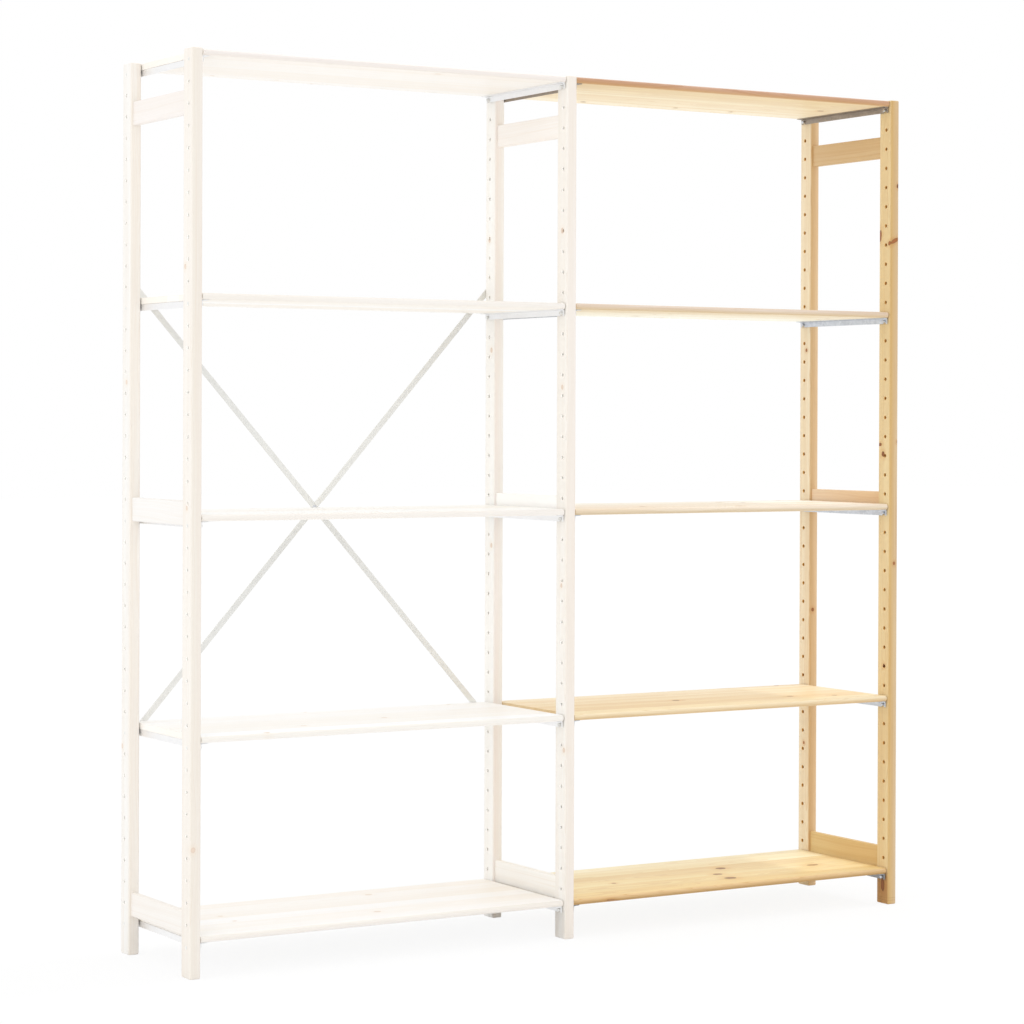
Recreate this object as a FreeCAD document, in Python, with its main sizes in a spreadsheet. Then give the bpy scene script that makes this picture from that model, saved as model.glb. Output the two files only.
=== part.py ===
import FreeCAD, Part
import os
import Sketcher

# A two-bay shelving unit of pine. Three ladder frames of two posts and three rails stand side by
# side. Ten shelves hang between them on steel pins, and two crossed steel bars brace the left bay.
# Lengths are millimetres. +Z is up, +X runs along the unit, and the front looks towards -Y. The
# origin is on the floor, under the middle of the whole unit.

doc = FreeCAD.newDocument("ShelvingUnit")
sheet = doc.addObject("Spreadsheet::Sheet", "Sizes")

SIZES = (
    # End frames: posts and how far apart they stand
    ("frame_height", "1790"),
    ("frame_depth", "332"),
    ("frame_pitch", "850"),
    ("post_width", "23"),
    ("post_depth", "40"),
    ("post_arris", "1"),
    ("post_end_bevel", "3"),
    # Ladder of peg holes: width across flats, spacing, and the places of the first and last
    ("hole_width", "7"),
    ("hole_pitch", "42.7"),
    ("hole_drop", "22"),
    ("hole_setback", "16.5"),
    ("hole_foot_room", "50"),
    # Rails and the stub tenons that join them to the posts
    ("rail_height", "48"),
    ("rail_thick", "12"),
    ("rail_arris", "1.5"),
    ("top_rail_drop", "102"),
    ("bottom_rail_rise", "102"),
    ("tenon_height", "34"),
    ("tenon_thick", "7"),
    ("tenon_length", "13.5"),
    ("glue_gap", "0.1"),
    ("mortise_spare", "0.5"),
    # Shelf panels: how they sit between the posts and over the pins
    ("shelf_thick", "13"),
    ("shelf_nose", "3.5"),
    ("shelf_recess", "3"),
    ("shelf_end_gap", "2"),
    ("shelf_seat", "8"),
    # Steel strips folded to an angle, which hook over the pins
    ("strip_gauge", "1.2"),
    ("strip_bend", "1.5"),
    ("strip_flange", "15"),
    ("strip_drop", "5"),
    ("strip_inset", "4"),
    ("slot_clear", "0.3"),
    ("slot_corner", "1.6"),
    ("slot_mouth", "1.4"),
    # Pins through the posts
    ("pin_fit", "0.1"),
    ("pin_reach", "8"),
    # Crossed bars on the back of the left bay, with their screws and rivet
    ("bar_width", "12.5"),
    ("bar_thick", "2"),
    ("bar_corner", "3.5"),
    ("crank_flat", "26"),
    ("crank_slope", "12"),
    ("screw_shank", "4.5"),
    ("screw_length", "21.5"),
    ("screw_head", "10"),
    ("screw_head_rise", "2.6"),
    ("screw_head_bevel", "1.8"),
    ("screw_fit", "0.1"),
    ("screw_hole_spare", "0.5"),
    ("rivet_shank", "5"),
    ("rivet_head", "10.5"),
    ("rivet_head_rise", "2.4"),
    ("rivet_head_bevel", "1.6"),
    ("rivet_front_rise", "1.2"),
)

for row, (alias, text) in enumerate(SIZES, start=1):
    sheet.set(f"A{row}", text)
    sheet.setAlias(f"A{row}", alias)
doc.recompute()

# Which hole of the ladder each thing uses, as shares of the way from the top hole to the last
LEVEL_ROW_SHARES = {"top": 0, "upper": 0.275, "middle": 0.525, "lower": 0.775, "bottom": 1}
ROUND_ROW_SHARES = (0.125, 0.4)
BRACE_ROW_SHARES = (0.225, 0.775)

HOLE_SPAN = sheet.frame_height - sheet.hole_drop - sheet.hole_foot_room
ROW_COUNT = int(HOLE_SPAN / sheet.hole_pitch) + 1
TINY = 1e-6
X_WAY = FreeCAD.Vector(1, 0, 0)
Y_WAY = FreeCAD.Vector(0, 1, 0)
Z_WAY = FreeCAD.Vector(0, 0, 1)


def share_row(share):
    """The ladder's hole nearest to a share of the way down."""
    return round(share * (ROW_COUNT - 1))


LEVEL_ROWS = {level: share_row(share) for level, share in LEVEL_ROW_SHARES.items()}
ROUND_ROWS = tuple(share_row(share) for share in ROUND_ROW_SHARES)
BRACE_ROWS = tuple(share_row(share) for share in BRACE_ROW_SHARES)


def row_height(row):
    """Height of a row of the ladder above the floor."""
    return f"(Sizes.frame_height - Sizes.hole_drop - {row} * Sizes.hole_pitch)"


def between_rows(row):
    """Height half-way between a row of the ladder and the next one down."""
    return f"({row_height(row)} - Sizes.hole_pitch / 2)"


# Places and widths that several pieces share
REACH_AT_RIVET = "2 * Sizes.bar_thick + Sizes.rivet_head_rise"
REACH_AT_SCREW = "Sizes.bar_thick + Sizes.screw_head_rise"
BRACE_REACH = f"max({REACH_AT_RIVET}; {REACH_AT_SCREW})"
FRONT = f"(-(Sizes.frame_depth + {BRACE_REACH}) / 2)"
BACK = f"({FRONT} + Sizes.frame_depth)"
FRAME_PLACES = {"left": "-Sizes.frame_pitch", "middle": "0", "right": "Sizes.frame_pitch"}
BAY_PLACES = {"left": "-Sizes.frame_pitch / 2", "right": "Sizes.frame_pitch / 2"}
RAIL_HEIGHTS = {
    "top": "Sizes.frame_height - Sizes.top_rail_drop",
    "middle": "Sizes.frame_height / 2",
    "bottom": "Sizes.bottom_rail_rise",
}
SHELF_END = "(Sizes.frame_pitch / 2 - Sizes.post_width / 2 - Sizes.shelf_end_gap)"
PIN_WIDTH = "(Sizes.hole_width - 2 * Sizes.pin_fit)"
BRACE_TOP = between_rows(BRACE_ROWS[0])
BRACE_LOW = between_rows(BRACE_ROWS[1])
BRACE_MIDDLE = f"(({BRACE_TOP} + {BRACE_LOW}) / 2)"
BRACE_RISE = f"({BRACE_TOP} - {BRACE_LOW})"
BRACE_HALF = f"(sqrt(pow({BRACE_RISE}; 2) + pow(Sizes.frame_pitch; 2)) / 2)"

nodes = []


def new_body(label, several=False):
    """A body for one sub-part; several allows separate solids in it."""
    body = doc.addObject("PartDesign::Body", label)
    body.Label = label
    body.AllowCompound = several
    nodes.append(body)
    return body


def origin_part(body, role):
    """One of the body's own planes or axes."""
    return [part for part in body.Origin.OriginFeatures if part.Role == role][0]


def place(obj, x, y, z):
    """Binds where an object stands."""
    for axis, text in zip("xyz", (x, y, z)):
        obj.setExpression(f".Placement.Base.{axis}", text)


def bind(sketch, kind, geometry, point, text):
    """Holds one coordinate of a sketch point at an expression."""
    which = sketch.addConstraint(Sketcher.Constraint(kind, geometry, point, 1))
    sketch.setExpression(f"Constraints[{which}]", text)


def new_sketch(body, name, role, loops=(), circles=(), offset="0"):
    """A sketch on one of its body's planes: loops of corners, and circles with a diameter."""
    sketch = body.newObject("Sketcher::SketchObject", f"{body.Name}_{name}")
    sketch.AttachmentSupport = (origin_part(body, role), "")
    sketch.MapMode = "FlatFace"
    sketch.setExpression("AttachmentOffset.Base.z", offset)
    for corners in loops:
        first = sketch.GeometryCount
        count = len(corners)
        turn = FreeCAD.Rotation(Z_WAY, 360 / count)
        spots = [FreeCAD.Vector(1, 0, 0)]
        for _ in range(count):
            spots.append(turn.multVec(spots[-1]))
        sketch.addGeometry([Part.LineSegment(spots[i], spots[i + 1]) for i in range(count)], False)
        ties = []
        for i in range(count):
            ties.append(Sketcher.Constraint("Coincident", first + i, 2, first + (i + 1) % count, 1))
        sketch.addConstraint(ties)
        for i, (across, up) in enumerate(corners):
            bind(sketch, "DistanceX", first + i, 1, across)
            bind(sketch, "DistanceY", first + i, 1, up)
    for across, up, diameter in circles:
        ring = sketch.addGeometry(Part.Circle(FreeCAD.Vector(1, 1, 0), Z_WAY, 1), False)
        bind(sketch, "DistanceX", ring, 3, across)
        bind(sketch, "DistanceY", ring, 3, up)
        which = sketch.addConstraint(Sketcher.Constraint("Diameter", ring, 2))
        sketch.setExpression(f"Constraints[{which}]", diameter)
    return sketch


def box_loop(x0, y0, x1, y1):
    """Corners of a rectangle."""
    return [(x0, y0), (x1, y0), (x1, y1), (x0, y1)]


def octagon_loop(x, y, width):
    """Corners of an upright eight-sided outline, as wide across its flats as given."""
    far = f"{width} / 2"
    near = f"{width} / 2 * tan(22.5 deg)"
    quarter = [(far, near), (near, far)]
    corners = [(f"{x} + {dx}", f"{y} + {dy}") for dx, dy in quarter]
    corners += [(f"{x} - {dx}", f"{y} + {dy}") for dx, dy in reversed(quarter)]
    corners += [(f"{x} - {dx}", f"{y} - {dy}") for dx, dy in quarter]
    corners += [(f"{x} + {dx}", f"{y} - {dy}") for dx, dy in reversed(quarter)]
    return corners


def pad(body, name, sketch, length, symmetric=False, back=False):
    """Draws a sketch's outline out along its normal, or against it."""
    feature = body.newObject("PartDesign::Pad", f"{body.Name}_{name}")
    feature.Profile = sketch
    feature.setExpression("Length", length)
    feature.SideType = "Symmetric" if symmetric else "One side"
    feature.Reversed = back
    doc.recompute()
    return feature


def pocket(body, name, sketch, depth=None, back=False):
    """Cuts a sketch's outline away: right through both ways, or to a depth."""
    before = body.Shape.Volume
    feature = body.newObject("PartDesign::Pocket", f"{body.Name}_{name}")
    feature.Profile = sketch
    feature.Reversed = back
    if depth is None:
        feature.SideType = "Symmetric"
        feature.Type = "ThroughAll"
    else:
        feature.setExpression("Length", depth)
    doc.recompute()
    if not body.Shape.Volume < before:
        raise RuntimeError(f"{feature.Name} cuts nothing")
    return feature


def bevel(body, name, chosen, size):
    """Bevels the chosen edges of a body."""
    base = body.Tip
    edges = [f"Edge{i}" for i, edge in enumerate(base.Shape.Edges, start=1) if chosen(edge)]
    feature = body.newObject("PartDesign::Chamfer", f"{body.Name}_{name}")
    feature.Base = (base, edges)
    feature.setExpression("Size", size)
    doc.recompute()
    return feature


def along(way):
    """A test for edges that run one way."""
    return lambda edge: abs(abs(edge.tangentAt(edge.FirstParameter).dot(way)) - 1) < TINY


def pattern(body, name, features, way, step, count, way2=None, step2="0", back=False):
    """Repeats features of a body, or with none named all of it, along one of its axes or two."""
    row = body.newObject("PartDesign::LinearPattern", f"{body.Name}_{name}")
    row.TransformMode = "Features" if features else "Whole shape"
    row.Originals = features
    row.Direction = (origin_part(body, way), [""])
    row.Reversed = back
    row.Mode = "Spacing"
    row.setExpression("Offset", step)
    row.Occurrences = count
    if way2 is not None:
        row.Direction2 = (origin_part(body, way2), [""])
        row.Mode2 = "Spacing"
        row.setExpression("Offset2", step2)
        row.Occurrences2 = 2
        row.Spacings2 = [-1]
    body.Tip = row
    doc.recompute()
    return row


# Posts
# A post's own frame has its outer face at Y zero and its foot at Z zero. Peg holes run right
# through it along X. They are eight-sided, but for two rows of the outer frames that are bored
# round to take bolts. Mortises are cut in the inner face, and two posts have brace screw holes.

def peg_runs(round_rows):
    """Unbroken runs of eight-sided holes, as first row and count, between rows bored round."""
    runs = []
    start = 0
    for stop in tuple(round_rows) + (ROW_COUNT,):
        if stop > start:
            runs.append((start, stop - start))
        start = stop + 1
    return runs


def make_post(label, round_rows, brace_rows):
    body = new_body(label)
    half = "Sizes.post_width / 2"
    outline = box_loop(f"-{half}", "0", half, "Sizes.post_depth")
    pad(body, "length", new_sketch(body, "section", "XY_Plane", [outline]), "Sizes.frame_height")
    arris = along(Z_WAY)
    ends = along(X_WAY)
    sides = along(Y_WAY)
    bevel(body, "ends", lambda edge: ends(edge) or sides(edge), "Sizes.post_end_bevel")
    bevel(body, "arris", arris, "Sizes.post_arris")

    for start, count in peg_runs(round_rows):
        loop = octagon_loop("Sizes.hole_setback", row_height(start), "Sizes.hole_width")
        outline = new_sketch(body, f"peg_{start}", "YZ_Plane", [loop])
        hole = pocket(body, f"peg_hole_{start}", outline)
        pattern(body, f"ladder_{start}", [hole], "Z_Axis", "Sizes.hole_pitch", count, back=True)
    if round_rows:
        rings = [("Sizes.hole_setback", row_height(row), "Sizes.hole_width") for row in round_rows]
        pocket(body, "round_holes", new_sketch(body, "rings", "YZ_Plane", circles=rings))

    wide = "(Sizes.tenon_thick / 2 + Sizes.glue_gap)"
    tall = "(Sizes.tenon_height / 2 + Sizes.glue_gap)"
    loops = []
    for height in RAIL_HEIGHTS.values():
        loops.append(box_loop(f"-{wide}", f"{height} - {tall}", wide, f"{height} + {tall}"))
    mouths = new_sketch(body, "mouths", "XZ_Plane", loops, offset="-Sizes.post_depth")
    pocket(body, "mortises", mouths, "Sizes.tenon_length + Sizes.mortise_spare", back=True)

    if brace_rows:
        bore = "(Sizes.screw_shank + 2 * Sizes.screw_fit)"
        loops = [octagon_loop("0", between_rows(row), bore) for row in brace_rows]
        starts = new_sketch(body, "screw_starts", "XZ_Plane", loops)
        pocket(body, "screw_holes", starts, "Sizes.screw_length + Sizes.screw_hole_spare")
    return body


for side, across in FRAME_PLACES.items():
    round_rows = () if side == "middle" else ROUND_ROWS
    brace_rows = () if side == "right" else BRACE_ROWS
    front_post = make_post(f"{side}_front_post", round_rows, ())
    place(front_post, across, FRONT, "0")
    rear_post = make_post(f"{side}_rear_post", round_rows, brace_rows)
    rear_post.Placement.Rotation = FreeCAD.Rotation(Z_WAY, 180)
    place(rear_post, across, BACK, "0")


# Rails
# A rail's own frame has its centre at zero, and it runs along Y between the two posts of a frame.
# A thinner stub tenon at each end fills the mortise in the post.

def make_rail(label):
    body = new_body(label)
    shoulder = "(Sizes.frame_depth / 2 - Sizes.post_depth)"
    tip = f"({shoulder} + Sizes.tenon_length)"
    tall = "Sizes.rail_height / 2"
    tenon = "Sizes.tenon_height / 2"
    board = new_sketch(body, "board", "YZ_Plane", [box_loop(f"-{shoulder}", f"-{tall}", shoulder, tall)])
    pad(body, "thickness", board, "Sizes.rail_thick", symmetric=True)
    bevel(body, "arris", along(Y_WAY), "Sizes.rail_arris")
    tongue = new_sketch(body, "tongue", "YZ_Plane", [box_loop(f"-{tip}", f"-{tenon}", tip, tenon)])
    pad(body, "tenons", tongue, "Sizes.tenon_thick", symmetric=True)
    return body


for side, across in FRAME_PLACES.items():
    for level, height in RAIL_HEIGHTS.items():
        rail = make_rail(f"{side}_{level}_rail")
        place(rail, across, f"{FRONT} + Sizes.frame_depth / 2", height)


# Shelves
# A shelf's own frame has X zero at the middle of its bay, Y zero at the front of the frames and
# Z zero at the centres of its pins. The panel's front and back edges are eased.

def make_panel(label):
    body = new_body(label)
    back = "Sizes.frame_depth - Sizes.shelf_recess"
    top = "Sizes.shelf_seat + Sizes.shelf_thick"
    outline = box_loop("Sizes.shelf_recess", "Sizes.shelf_seat", back, top)
    section = new_sketch(body, "section", "YZ_Plane", [outline])
    pad(body, "board", section, f"2 * {SHELF_END}", symmetric=True)
    bevel(body, "nose", along(X_WAY), "Sizes.shelf_nose")
    return body


# Strips
# A pair of folded strips lies under the two ends of a panel. Each has a flange against the panel
# and a web beside the post. A slot in the web, open downwards, hooks over each pin.

def slot_loop(centre):
    """Outline of a slot over a pin: flared mouth, straight sides and a top with cut corners."""
    half = f"({PIN_WIDTH} / 2 + Sizes.slot_clear)"
    inner = f"({half} - Sizes.slot_corner)"
    mouth = f"({half} + Sizes.slot_mouth)"
    low = "-Sizes.strip_drop"
    flare = f"({low} + Sizes.slot_mouth)"
    right = [(mouth, low), (half, flare), (half, inner), (inner, half)]
    corners = [(f"{centre} + {across}", up) for across, up in right]
    corners += [(f"{centre} - {across}", up) for across, up in reversed(right)]
    return corners


def make_strips(label):
    body = new_body(label, several=True)
    end = SHELF_END
    tip = f"({end} - Sizes.strip_flange)"
    inner = f"({end} - Sizes.strip_gauge)"
    top = "Sizes.shelf_seat"
    under = "(Sizes.shelf_seat - Sizes.strip_gauge)"
    low = "-Sizes.strip_drop"
    inner_bend = "(Sizes.strip_bend - (2 - sqrt(2)) * Sizes.strip_gauge)"
    fold = [
        (end, low),
        (end, f"{top} - Sizes.strip_bend"),
        (f"{end} - Sizes.strip_bend", top),
        (tip, top),
        (tip, under),
        (f"{inner} - {inner_bend}", under),
        (inner, f"{under} - {inner_bend}"),
        (inner, low),
    ]
    inset = "(Sizes.shelf_recess + Sizes.strip_inset)"
    section = new_sketch(body, "fold", "XZ_Plane", [fold], offset=f"-{inset}")
    pad(body, "strip", section, f"Sizes.frame_depth - 2 * {inset}", back=True)
    slots = [slot_loop(place) for place in ("Sizes.hole_setback", "(Sizes.frame_depth - Sizes.hole_setback)")]
    pocket(body, "hooks", new_sketch(body, "slots", "YZ_Plane", slots))
    pair = body.newObject("PartDesign::Mirrored", f"{body.Name}_pair")
    pair.TransformMode = "Whole shape"
    pair.MirrorPlane = (origin_part(body, "YZ_Plane"), [""])
    body.Tip = pair
    doc.recompute()
    return body


for bay, across in BAY_PLACES.items():
    for level, row in LEVEL_ROWS.items():
        panel = make_panel(f"{bay}_{level}_shelf")
        place(panel, across, FRONT, row_height(row))
        strips = make_strips(f"{bay}_{level}_strips")
        place(strips, across, FRONT, row_height(row))


# Pins
# One pin goes through each post at each shelf level. It ends level with the outer face of an
# outer frame and stands out of every face that a shelf hangs beside.

def make_pins(side, across):
    pins = []
    left_reach = "0" if side == "left" else "Sizes.pin_reach"
    right_reach = "0" if side == "right" else "Sizes.pin_reach"
    depths = {"front": "Sizes.hole_setback", "rear": "(Sizes.frame_depth - Sizes.hole_setback)"}
    lie_down = FreeCAD.Rotation(Y_WAY, 90)
    flat_on_top = FreeCAD.Rotation(Z_WAY, 22.5)
    for level, row in LEVEL_ROWS.items():
        for end, depth in depths.items():
            pin = doc.addObject("Part::Prism", f"{side}_{level}_{end}_pin")
            pin.Polygon = 8
            pin.setExpression("Circumradius", f"{PIN_WIDTH} / 2 / cos(22.5 deg)")
            pin.setExpression("Height", f"Sizes.post_width + {left_reach} + {right_reach}")
            pin.Placement.Rotation = lie_down.multiply(flat_on_top)
            start = f"{across} - Sizes.post_width / 2 - {left_reach}"
            place(pin, start, f"{FRONT} + {depth}", row_height(row))
            pins.append(pin)
    group = doc.addObject("Part::Compound", f"{side}_frame_pins")
    group.Label = f"{side}_frame_pins"
    group.Links = pins
    nodes.append(group)
    return group


for side, across in FRAME_PLACES.items():
    make_pins(side, across)


# Brace
# Two flat bars cross on the back of the left bay. Their own frame has X along the bar, Y zero at
# the posts' back faces, and its origin at the crossing. The second bar is cranked over the first.

BAR_END = f"({BRACE_HALF} + Sizes.bar_width / 2)"
# A hole passes its shank turned any way, so it clears the shank's corners
BAR_SCREW_HOLE = "(Sizes.screw_shank / cos(22.5 deg) + 2 * Sizes.screw_fit)"
BAR_RIVET_HOLE = "(Sizes.rivet_shank / cos(22.5 deg) + 2 * Sizes.screw_fit)"


def make_bar(label, side_view, lean_axis):
    body = new_body(label)
    section = new_sketch(body, "side_view", "XY_Plane", [side_view])
    pad(body, "width", section, "Sizes.bar_width", symmetric=True)
    across = along(Y_WAY)
    bevel(body, "ends", across, "Sizes.bar_corner")
    loops = [octagon_loop(f"-{BRACE_HALF}", "0", BAR_SCREW_HOLE)]
    loops += [octagon_loop("0", "0", BAR_RIVET_HOLE), octagon_loop(BRACE_HALF, "0", BAR_SCREW_HOLE)]
    pocket(body, "holes", new_sketch(body, "hole_outlines", "XZ_Plane", loops))
    body.Placement.Rotation = FreeCAD.Rotation(lean_axis, 45)
    body.setExpression(".Placement.Rotation.Angle", f"atan({BRACE_RISE} / Sizes.frame_pitch)")
    place(body, BAY_PLACES["left"], BACK, BRACE_MIDDLE)
    return body


def crank_loop():
    """Side view of the second bar: it lies on the posts at its ends and steps out at the middle."""
    flat = "(Sizes.crank_flat / 2)"
    foot = f"({flat} + Sizes.crank_slope)"
    out = "Sizes.bar_thick"
    right = [(BAR_END, "0"), (BAR_END, out), (foot, out), (flat, f"2 * {out}")]
    left = [(f"-{across}", up) for across, up in reversed(right)]
    inner = [(f"-{foot}", "0"), (f"-{flat}", out), (flat, out), (foot, "0")]
    return right + left + inner


straight_view = box_loop(f"-{BAR_END}", "0", BAR_END, "Sizes.bar_thick")
make_bar("brace_bar_inner", straight_view, Y_WAY)
make_bar("brace_bar_outer", crank_loop(), -Y_WAY)


# Screws and rivet of the brace
# A fastener's own frame has Y zero at the posts' back faces. The shank runs through the bars, and
# a head with a bevelled rim lies on them. The four screws stand at the corners of a rectangle.

def make_fastener(label, kind, shank_start, shank_end, several=False):
    body = new_body(label, several)
    stem = octagon_loop("0", "0", f"Sizes.{kind}_shank")
    head = octagon_loop("0", "0", f"Sizes.{kind}_head")
    stem_view = new_sketch(body, "stem", "XZ_Plane", [stem], offset=shank_start)
    pad(body, "shank", stem_view, f"{shank_start} + {shank_end}", back=True)
    head_view = new_sketch(body, "top", "XZ_Plane", [head], offset=f"-{shank_end}")
    pad(body, "head", head_view, f"Sizes.{kind}_head_rise", back=True)
    crown = body.Shape.BoundBox.YMax
    on_crown = lambda edge: all(abs(corner.Y - crown) < TINY for corner in edge.Vertexes)
    bevel(body, "rim", on_crown, f"Sizes.{kind}_head_bevel")
    return body


screws = make_fastener("brace_screws", "screw", "Sizes.screw_length", "Sizes.bar_thick", several=True)
pattern(screws, "four", [], "X_Axis", "Sizes.frame_pitch", 2, "Z_Axis", BRACE_RISE)
place(screws, FRAME_PLACES["left"], BACK, BRACE_LOW)

rivet = make_fastener("brace_rivet", "rivet", "0", "(2 * Sizes.bar_thick)")
inner_view = new_sketch(rivet, "inner_top", "XZ_Plane", [octagon_loop("0", "0", "Sizes.rivet_head")])
pad(rivet, "inner_head", inner_view, "Sizes.rivet_front_rise")
place(rivet, BAY_PLACES["left"], BACK, BRACE_MIDDLE)

doc.recompute()

# Every object is sound before a file is written
for obj in doc.Objects:
    if "Invalid" in obj.State or "Error" in obj.State:
        raise RuntimeError(f"{obj.Name} failed: {obj.State}")
for node in nodes:
    if node.Shape.isNull() or not node.Shape.isValid() or not node.Shape.Solids:
        raise RuntimeError(f"{node.Label} has no valid solid")

os.makedirs("parts", exist_ok=True)
for node in nodes:
    node.Shape.exportStep(f"parts/{node.Label}.step")
    print(node.Label, len(node.Shape.Solids), round(node.Shape.Volume))
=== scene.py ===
import bmesh
import bpy
import numpy as np
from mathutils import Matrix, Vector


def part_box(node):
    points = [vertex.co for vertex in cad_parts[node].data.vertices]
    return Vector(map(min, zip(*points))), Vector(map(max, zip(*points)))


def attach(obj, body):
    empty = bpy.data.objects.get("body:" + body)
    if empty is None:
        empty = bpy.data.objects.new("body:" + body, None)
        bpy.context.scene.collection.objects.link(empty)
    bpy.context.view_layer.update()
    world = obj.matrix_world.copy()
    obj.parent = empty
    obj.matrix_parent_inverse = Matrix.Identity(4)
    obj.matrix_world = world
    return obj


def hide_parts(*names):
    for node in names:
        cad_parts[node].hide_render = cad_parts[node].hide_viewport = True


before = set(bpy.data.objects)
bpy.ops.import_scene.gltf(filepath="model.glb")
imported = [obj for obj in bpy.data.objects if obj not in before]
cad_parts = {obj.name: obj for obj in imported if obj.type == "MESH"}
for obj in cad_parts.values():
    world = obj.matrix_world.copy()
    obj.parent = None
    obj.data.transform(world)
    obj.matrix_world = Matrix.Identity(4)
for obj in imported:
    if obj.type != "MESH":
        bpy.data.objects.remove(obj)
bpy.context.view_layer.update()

# Camera
# It stands well back to the left of the unit, a little above half its height. It looks level, and
# the picture is shifted instead, so the posts stay upright in it.
scene = bpy.context.scene
camera = bpy.data.objects.new("camera", bpy.data.cameras.new("camera"))
scene.collection.objects.link(camera)
scene.camera = camera
camera.location = (-3.15512, -5.15291, 1.08052)
camera.rotation_euler = (1.5649663, -0.0034599, -0.5435598)
camera.data.sensor_width = 36
camera.data.lens = 100.0445
camera.data.shift_y = -0.07552
scene.view_settings.view_transform = "Standard"


# Floor and light
# A white sweep that shows as plain white and keeps a faint shadow of the unit. The room is evenly
# bright, a small lamp stands high on the right, and wide soft lamps stand above and on the left.
def add(tree, kind, settings, inputs):
    """Adds a node, gives it its settings, and fills its inputs with values or other outputs."""
    new = tree.nodes.new("ShaderNode" + kind)
    for name, value in settings.items():
        setattr(new, name, value)
    for name, value in inputs.items():
        if isinstance(value, bpy.types.NodeSocket):
            tree.links.new(value, new.inputs[name])
        else:
            new.inputs[name].default_value = value
    return new


def reckon(tree, operation, *terms):
    """One sum or other operation on numbers, as a Math node's output."""
    return add(tree, "Math", {"operation": operation}, dict(enumerate(terms))).outputs[0]


def not_lighting(tree):
    """1 for rays from the camera or off gloss and through glass, 0 for rays that carry light."""
    path = add(tree, "LightPath", {}, {})
    seen = reckon(tree, "ADD", path.outputs["Is Camera Ray"], path.outputs["Is Glossy Ray"])
    return reckon(tree, "MAXIMUM", seen, path.outputs["Is Transmission Ray"])


world = bpy.data.worlds.new("white room")
scene.world = world
world.use_nodes = True
room = world.node_tree
room.nodes.clear()
room_light = 0.91
strength = reckon(room, "MULTIPLY_ADD", not_lighting(room), 1 - room_light, room_light)
glow = add(room, "Background", {}, {"Color": (1, 1, 1, 1), "Strength": strength})
add(room, "OutputWorld", {}, {"Surface": glow.outputs[0]})

floor_mesh = bpy.data.meshes.new("floor")
far = 30
floor_mesh.from_pydata([(-far, -far, 0), (far, -far, 0), (far, far, 0), (-far, far, 0)], [], [(0, 1, 2, 3)])
floor = bpy.data.objects.new("floor", floor_mesh)
scene.collection.objects.link(floor)
sweep = bpy.data.materials.new("white sweep")
sweep.use_nodes = True
tree = sweep.node_tree
tree.nodes.clear()
paper = add(tree, "BsdfDiffuse", {}, {"Color": (0.92, 0.92, 0.92, 1)})
white = add(tree, "Emission", {}, {"Color": (1, 1, 1, 1), "Strength": 1})
share = reckon(tree, "MULTIPLY", not_lighting(tree), 0.9)
both = add(tree, "MixShader", {}, {0: share, 1: paper.outputs[0], 2: white.outputs[0]})
add(tree, "OutputMaterial", {}, {"Surface": both.outputs[0]})
floor_mesh.materials.append(sweep)

for name, spread, power, turn in (
    ("high right lamp", 0.07, 0.55, (0, 0.48, 0)),
    ("overhead soft lamp", 1.9, 0.5, (0.15, -0.45, 0)),
    ("left soft lamp", 1.7, 0.25, (1.3, 0, -1.1)),
):
    lamp = bpy.data.objects.new(name, bpy.data.lights.new(name, "SUN"))
    scene.collection.objects.link(lamp)
    lamp.data.angle = spread
    lamp.data.energy = power
    lamp.rotation_euler = turn


# Posts
# Six pine posts, planed, with well rounded long edges and ends, and two fine lines cut round each
# foot. A ladder of 41 holes of 7 mm is bored through each from side to side.
MM = 0.001
LINE_HALF = 0.5 * MM
PARTS = 6


def grid_faces(rows, columns, first=0, closed=False):
    """Quads between the points of a grid that are numbered row by row from first; closed joins
    the last column to column zero."""
    number = first + np.arange(rows * columns).reshape(rows, columns)
    if closed:
        number = np.column_stack([number, number[:, :1]])
    corners = (number[:-1, :-1], number[:-1, 1:], number[1:, 1:], number[1:, :-1])
    return np.stack(corners, axis=-1).reshape(-1, 4)


def join_grids(grids, caps=()):
    """Puts grids together as one closed skin. A grid is an array of rows, columns and 3, with a
    mark for joined ends; a cap is a ring of points. Points less than a micron apart are one."""
    points, quads, rings, count = [], [], [], 0
    for grid, closed in grids:
        points.append(grid.reshape(-1, 3))
        quads.append(grid_faces(grid.shape[0], grid.shape[1], count, closed))
        count += len(points[-1])
    for ring in caps:
        points.append(ring)
        rings.append(np.arange(count, count + len(ring)))
        count += len(ring)
    rounded = np.round(np.concatenate(points) * 1e6).astype(np.int64)
    _, first, same = np.unique(rounded, axis=0, return_index=True, return_inverse=True)
    same = same.reshape(-1)
    faces = same[np.concatenate(quads)].tolist() + [same[ring].tolist() for ring in rings]
    return np.concatenate(points)[first], faces


def make_piece(name, skin, body, material, stands_for=()):
    """Makes a mesh object of a skin, its faces outwards and smooth but for sharp creases."""
    crease = 0.6
    points, faces = skin
    mesh = bpy.data.meshes.new(name)
    mesh.from_pydata(points.tolist(), [], faces)
    shape = bmesh.new()
    shape.from_mesh(mesh)
    bmesh.ops.recalc_face_normals(shape, faces=shape.faces)
    shape.to_mesh(mesh)
    shape.free()
    mesh.polygons.foreach_set("use_smooth", np.ones(len(mesh.polygons), bool))
    mesh.set_sharp_from_angle(angle=crease)
    mesh.materials.append(material)
    piece = bpy.data.objects.new(name, mesh)
    scene.collection.objects.link(piece)
    flats = piece.modifiers.new("flat faces stay flat", "WEIGHTED_NORMAL")
    flats.keep_sharp = True
    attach(piece, body)
    if stands_for:
        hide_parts(*stands_for)
    return piece


def quarter(steps):
    """Sines and cosines of angles from zero to a right angle."""
    angles = np.linspace(0, np.pi / 2, steps + 1)
    return np.sin(angles), np.cos(angles)


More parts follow.
